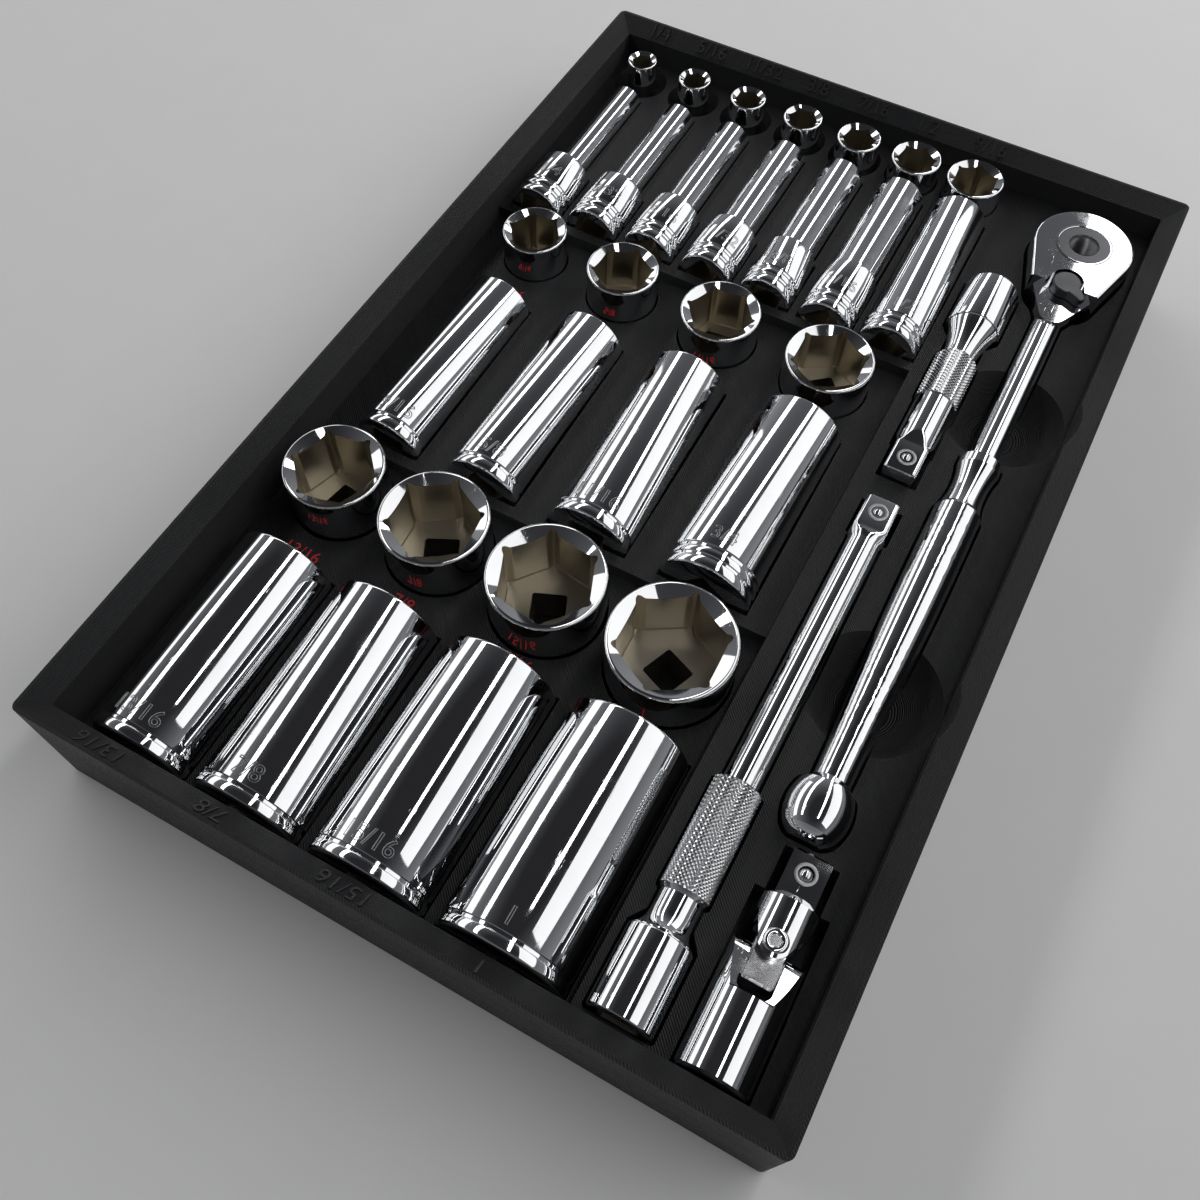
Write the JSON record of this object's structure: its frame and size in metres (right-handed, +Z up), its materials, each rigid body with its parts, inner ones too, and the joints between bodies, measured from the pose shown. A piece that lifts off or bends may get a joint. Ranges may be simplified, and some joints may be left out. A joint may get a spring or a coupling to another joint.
{
  "type": "socket organizer drawer box",
  "caption": "Shallow tiered drawer tray with fitted pockets holding deep and shallow hex sockets, a ratchet, two extensions and a universal joint.",
  "frame": {"origin": "middle of the tray's underside", "axes": "+X across the tray, +Y along it away from the ratchet's grip end, +Z up"},
  "size_m": [0.2, 0.305, 0.038],
  "materials": {
    "tray_plastic": "black printed plastic with fine layer lines",
    "socket_chrome": "polished chrome plate outside, satin nickel inside",
    "tool_chrome": "polished chrome plate",
    "plain_steel": "bright steel",
    "dark_steel": "dark oxide finish",
    "spring_wire": "spring wire"
  },
  "bodies": {
    "tray": {"tray": "tray_plastic"},
    "ratchet": {"ratchet_body": "tool_chrome", "head_cover": "plain_steel", "cover_screws": "plain_steel"},
    "drive_gear": {"drive_gear": "dark_steel", "button_spring": "spring_wire"},
    "reverse_lever": {"reverse_lever": "tool_chrome"},
    "pawl": {"pawl": "dark_steel"},
    "release_button": {"release_button": "dark_steel"},
    "anvil_ball": {"anvil_ball": "plain_steel"},
    "long_extension": {"long_extension": "tool_chrome", "long_extension_detent_spring": "spring_wire"},
    "long_extension_ball": {"long_extension_detent_ball": "plain_steel"},
    "short_extension": {"short_extension": "tool_chrome", "short_extension_detent_spring": "spring_wire"},
    "short_extension_ball": {"short_extension_detent_ball": "plain_steel"},
    "joint_female_end": {"joint_female_yoke": "tool_chrome"},
    "joint_cross": {"joint_block": "plain_steel", "joint_top_pin": "plain_steel", "joint_side_pin": "plain_steel"},
    "joint_male_end": {"joint_male_yoke": "tool_chrome", "joint_detent_spring": "spring_wire"},
    "joint_ball": {"joint_detent_ball": "plain_steel"},
    "shallow_socket_1_4": {"shallow_socket_1_4": "socket_chrome"},
    "shallow_socket_9_32": {"shallow_socket_9_32": "socket_chrome"},
    "shallow_socket_5_16": {"shallow_socket_5_16": "socket_chrome"},
    "shallow_socket_11_32": {"shallow_socket_11_32": "socket_chrome"},
    "shallow_socket_3_8": {"shallow_socket_3_8": "socket_chrome"},
    "shallow_socket_7_16": {"shallow_socket_7_16": "socket_chrome"},
    "shallow_socket_1_2": {"shallow_socket_1_2": "socket_chrome"},
    "shallow_socket_9_16": {"shallow_socket_9_16": "socket_chrome"},
    "shallow_socket_5_8": {"shallow_socket_5_8": "socket_chrome"},
    "shallow_socket_11_16": {"shallow_socket_11_16": "socket_chrome"},
    "shallow_socket_3_4": {"shallow_socket_3_4": "socket_chrome"},
    "shallow_socket_13_16": {"shallow_socket_13_16": "socket_chrome"},
    "shallow_socket_7_8": {"shallow_socket_7_8": "socket_chrome"},
    "shallow_socket_15_16": {"shallow_socket_15_16": "socket_chrome"},
    "shallow_socket_1": {"shallow_socket_1": "socket_chrome"},
    "deep_socket_1_4": {"deep_socket_1_4": "socket_chrome"},
    "deep_socket_9_32": {"deep_socket_9_32": "socket_chrome"},
    "deep_socket_5_16": {"deep_socket_5_16": "socket_chrome"},
    "deep_socket_11_32": {"deep_socket_11_32": "socket_chrome"},
    "deep_socket_3_8": {"deep_socket_3_8": "socket_chrome"},
    "deep_socket_7_16": {"deep_socket_7_16": "socket_chrome"},
    "deep_socket_1_2": {"deep_socket_1_2": "socket_chrome"},
    "deep_socket_9_16": {"deep_socket_9_16": "socket_chrome"},
    "deep_socket_5_8": {"deep_socket_5_8": "socket_chrome"},
    "deep_socket_11_16": {"deep_socket_11_16": "socket_chrome"},
    "deep_socket_3_4": {"deep_socket_3_4": "socket_chrome"},
    "deep_socket_13_16": {"deep_socket_13_16": "socket_chrome"},
    "deep_socket_7_8": {"deep_socket_7_8": "socket_chrome"},
    "deep_socket_15_16": {"deep_socket_15_16": "socket_chrome"},
    "deep_socket_1": {"deep_socket_1": "socket_chrome"}
  },
  "joints": [
    {"name": "drive_gear_spin", "type": "hinge", "parent": "ratchet", "child": "drive_gear", "pos_m": [0.0762, 0.1238, 0.0345], "axis": [0, 0, 1], "continuous": true},
    {"name": "reverse_lever_turn", "type": "hinge", "parent": "ratchet", "child": "reverse_lever", "pos_m": [0.0762, 0.1066, 0.033], "axis": [0, 0, 1], "range_deg": [-104, 0]},
    {"name": "pawl_swing", "type": "hinge", "parent": "ratchet", "child": "pawl", "pos_m": [0.0762, 0.1066, 0.026], "axis": [0, 0, 1], "range_deg": [-12.48, 0]},
    {"name": "release_button_press", "type": "slide", "parent": "drive_gear", "child": "release_button", "axis": [0, 0, -1], "range_m": [0, 0.002], "stiffness_N_per_m": 800, "springref_m": -0.001, "deforming": ["button_spring"]},
    {"name": "anvil_ball_retract", "type": "slide", "parent": "drive_gear", "child": "anvil_ball", "axis": [0, -1, 0], "range_m": [0, 0.0005]},
    {"name": "long_extension_ball_press", "type": "slide", "parent": "long_extension", "child": "long_extension_ball", "axis": [0, 0, -1], "range_m": [0, 0.0005], "stiffness_N_per_m": 2000, "springref_m": -0.0005, "deforming": ["long_extension_detent_spring"]},
    {"name": "short_extension_ball_press", "type": "slide", "parent": "short_extension", "child": "short_extension_ball", "axis": [0, 0, -1], "range_m": [0, 0.0005], "stiffness_N_per_m": 2000, "springref_m": -0.0005, "deforming": ["short_extension_detent_spring"]},
    {"name": "joint_pitch", "type": "hinge", "parent": "joint_female_end", "child": "joint_cross", "pos_m": [0.0798, -0.1195, 0.0265], "axis": [1, 0, 0], "range_deg": [0, 40]},
    {"name": "joint_yaw", "type": "hinge", "parent": "joint_cross", "child": "joint_male_end", "pos_m": [0.0798, -0.1135, 0.0265], "axis": [0, 0, 1], "range_deg": [-4, 4]},
    {"name": "joint_ball_press", "type": "slide", "parent": "joint_male_end", "child": "joint_ball", "axis": [0, 0, -1], "range_m": [0, 0.0005], "stiffness_N_per_m": 2000, "springref_m": -0.0005, "deforming": ["joint_detent_spring"]},
    {"name": "ratchet_lift", "type": "slide", "parent": "tray", "child": "ratchet", "axis": [0, 0, 1], "range_m": [0, 0.06]},
    {"name": "long_extension_lift", "type": "slide", "parent": "tray", "child": "long_extension", "axis": [0, 0, 1], "range_m": [0, 0.06]},
    {"name": "short_extension_lift", "type": "slide", "parent": "tray", "child": "short_extension", "axis": [0, 0, 1], "range_m": [0, 0.06]},
    {"name": "universal_joint_lift", "type": "slide", "parent": "tray", "child": "joint_female_end", "axis": [0, 0, 1], "range_m": [0, 0.06]},
    {"name": "shallow_socket_1_4_lift", "type": "slide", "parent": "tray", "child": "shallow_socket_1_4", "axis": [0, 0, 1], "range_m": [0, 0.06]},
    {"name": "shallow_socket_9_32_lift", "type": "slide", "parent": "tray", "child": "shallow_socket_9_32", "axis": [0, 0, 1], "range_m": [0, 0.06]},
    {"name": "shallow_socket_5_16_lift", "type": "slide", "parent": "tray", "child": "shallow_socket_5_16", "axis": [0, 0, 1], "range_m": [0, 0.06]},
    {"name": "shallow_socket_11_32_lift", "type": "slide", "parent": "tray", "child": "shallow_socket_11_32", "axis": [0, 0, 1], "range_m": [0, 0.06]},
    {"name": "shallow_socket_3_8_lift", "type": "slide", "parent": "tray", "child": "shallow_socket_3_8", "axis": [0, 0, 1], "range_m": [0, 0.06]},
    {"name": "shallow_socket_7_16_lift", "type": "slide", "parent": "tray", "child": "shallow_socket_7_16", "axis": [0, 0, 1], "range_m": [0, 0.06]},
    {"name": "shallow_socket_1_2_lift", "type": "slide", "parent": "tray", "child": "shallow_socket_1_2", "axis": [0, 0, 1], "range_m": [0, 0.06]},
    {"name": "shallow_socket_9_16_lift", "type": "slide", "parent": "tray", "child": "shallow_socket_9_16", "axis": [0, 0, 1], "range_m": [0, 0.06]},
    {"name": "shallow_socket_5_8_lift", "type": "slide", "parent": "tray", "child": "shallow_socket_5_8", "axis": [0, 0, 1], "range_m": [0, 0.06]},
    {"name": "shallow_socket_11_16_lift", "type": "slide", "parent": "tray", "child": "shallow_socket_11_16", "axis": [0, 0, 1], "range_m": [0, 0.06]},
    {"name": "shallow_socket_3_4_lift", "type": "slide", "parent": "tray", "child": "shallow_socket_3_4", "axis": [0, 0, 1], "range_m": [0, 0.06]},
    {"name": "shallow_socket_13_16_lift", "type": "slide", "parent": "tray", "child": "shallow_socket_13_16", "axis": [0, 0, 1], "range_m": [0, 0.06]},
    {"name": "shallow_socket_7_8_lift", "type": "slide", "parent": "tray", "child": "shallow_socket_7_8", "axis": [0, 0, 1], "range_m": [0, 0.06]},
    {"name": "shallow_socket_15_16_lift", "type": "slide", "parent": "tray", "child": "shallow_socket_15_16", "axis": [0, 0, 1], "range_m": [0, 0.06]},
    {"name": "shallow_socket_1_lift", "type": "slide", "parent": "tray", "child": "shallow_socket_1", "axis": [0, 0, 1], "range_m": [0, 0.06]},
    {"name": "deep_socket_1_4_lift", "type": "slide", "parent": "tray", "child": "deep_socket_1_4", "axis": [0, 0, 1], "range_m": [0, 0.06]},
    {"name": "deep_socket_9_32_lift", "type": "slide", "parent": "tray", "child": "deep_socket_9_32", "axis": [0, 0, 1], "range_m": [0, 0.06]},
    {"name": "deep_socket_5_16_lift", "type": "slide", "parent": "tray", "child": "deep_socket_5_16", "axis": [0, 0, 1], "range_m": [0, 0.06]},
    {"name": "deep_socket_11_32_lift", "type": "slide", "parent": "tray", "child": "deep_socket_11_32", "axis": [0, 0, 1], "range_m": [0, 0.06]},
    {"name": "deep_socket_3_8_lift", "type": "slide", "parent": "tray", "child": "deep_socket_3_8", "axis": [0, 0, 1], "range_m": [0, 0.06]},
    {"name": "deep_socket_7_16_lift", "type": "slide", "parent": "tray", "child": "deep_socket_7_16", "axis": [0, 0, 1], "range_m": [0, 0.06]},
    {"name": "deep_socket_1_2_lift", "type": "slide", "parent": "tray", "child": "deep_socket_1_2", "axis": [0, 0, 1], "range_m": [0, 0.06]},
    {"name": "deep_socket_9_16_lift", "type": "slide", "parent": "tray", "child": "deep_socket_9_16", "axis": [0, 0, 1], "range_m": [0, 0.06]},
    {"name": "deep_socket_5_8_lift", "type": "slide", "parent": "tray", "child": "deep_socket_5_8", "axis": [0, 0, 1], "range_m": [0, 0.06]},
    {"name": "deep_socket_11_16_lift", "type": "slide", "parent": "tray", "child": "deep_socket_11_16", "axis": [0, 0, 1], "range_m": [0, 0.06]},
    {"name": "deep_socket_3_4_lift", "type": "slide", "parent": "tray", "child": "deep_socket_3_4", "axis": [0, 0, 1], "range_m": [0, 0.06]},
    {"name": "deep_socket_13_16_lift", "type": "slide", "parent": "tray", "child": "deep_socket_13_16", "axis": [0, 0, 1], "range_m": [0, 0.06]},
    {"name": "deep_socket_7_8_lift", "type": "slide", "parent": "tray", "child": "deep_socket_7_8", "axis": [0, 0, 1], "range_m": [0, 0.06]},
    {"name": "deep_socket_15_16_lift", "type": "slide", "parent": "tray", "child": "deep_socket_15_16", "axis": [0, 0, 1], "range_m": [0, 0.06]},
    {"name": "deep_socket_1_lift", "type": "slide", "parent": "tray", "child": "deep_socket_1", "axis": [0, 0, 1], "range_m": [0, 0.06]}
  ],
  "couplings": [
    {"joint": "pawl_swing", "follows": "reverse_lever_turn", "ratio": 0.12},
    {"joint": "anvil_ball_retract", "follows": "release_button_press", "ratio": 0.25}
  ]
}
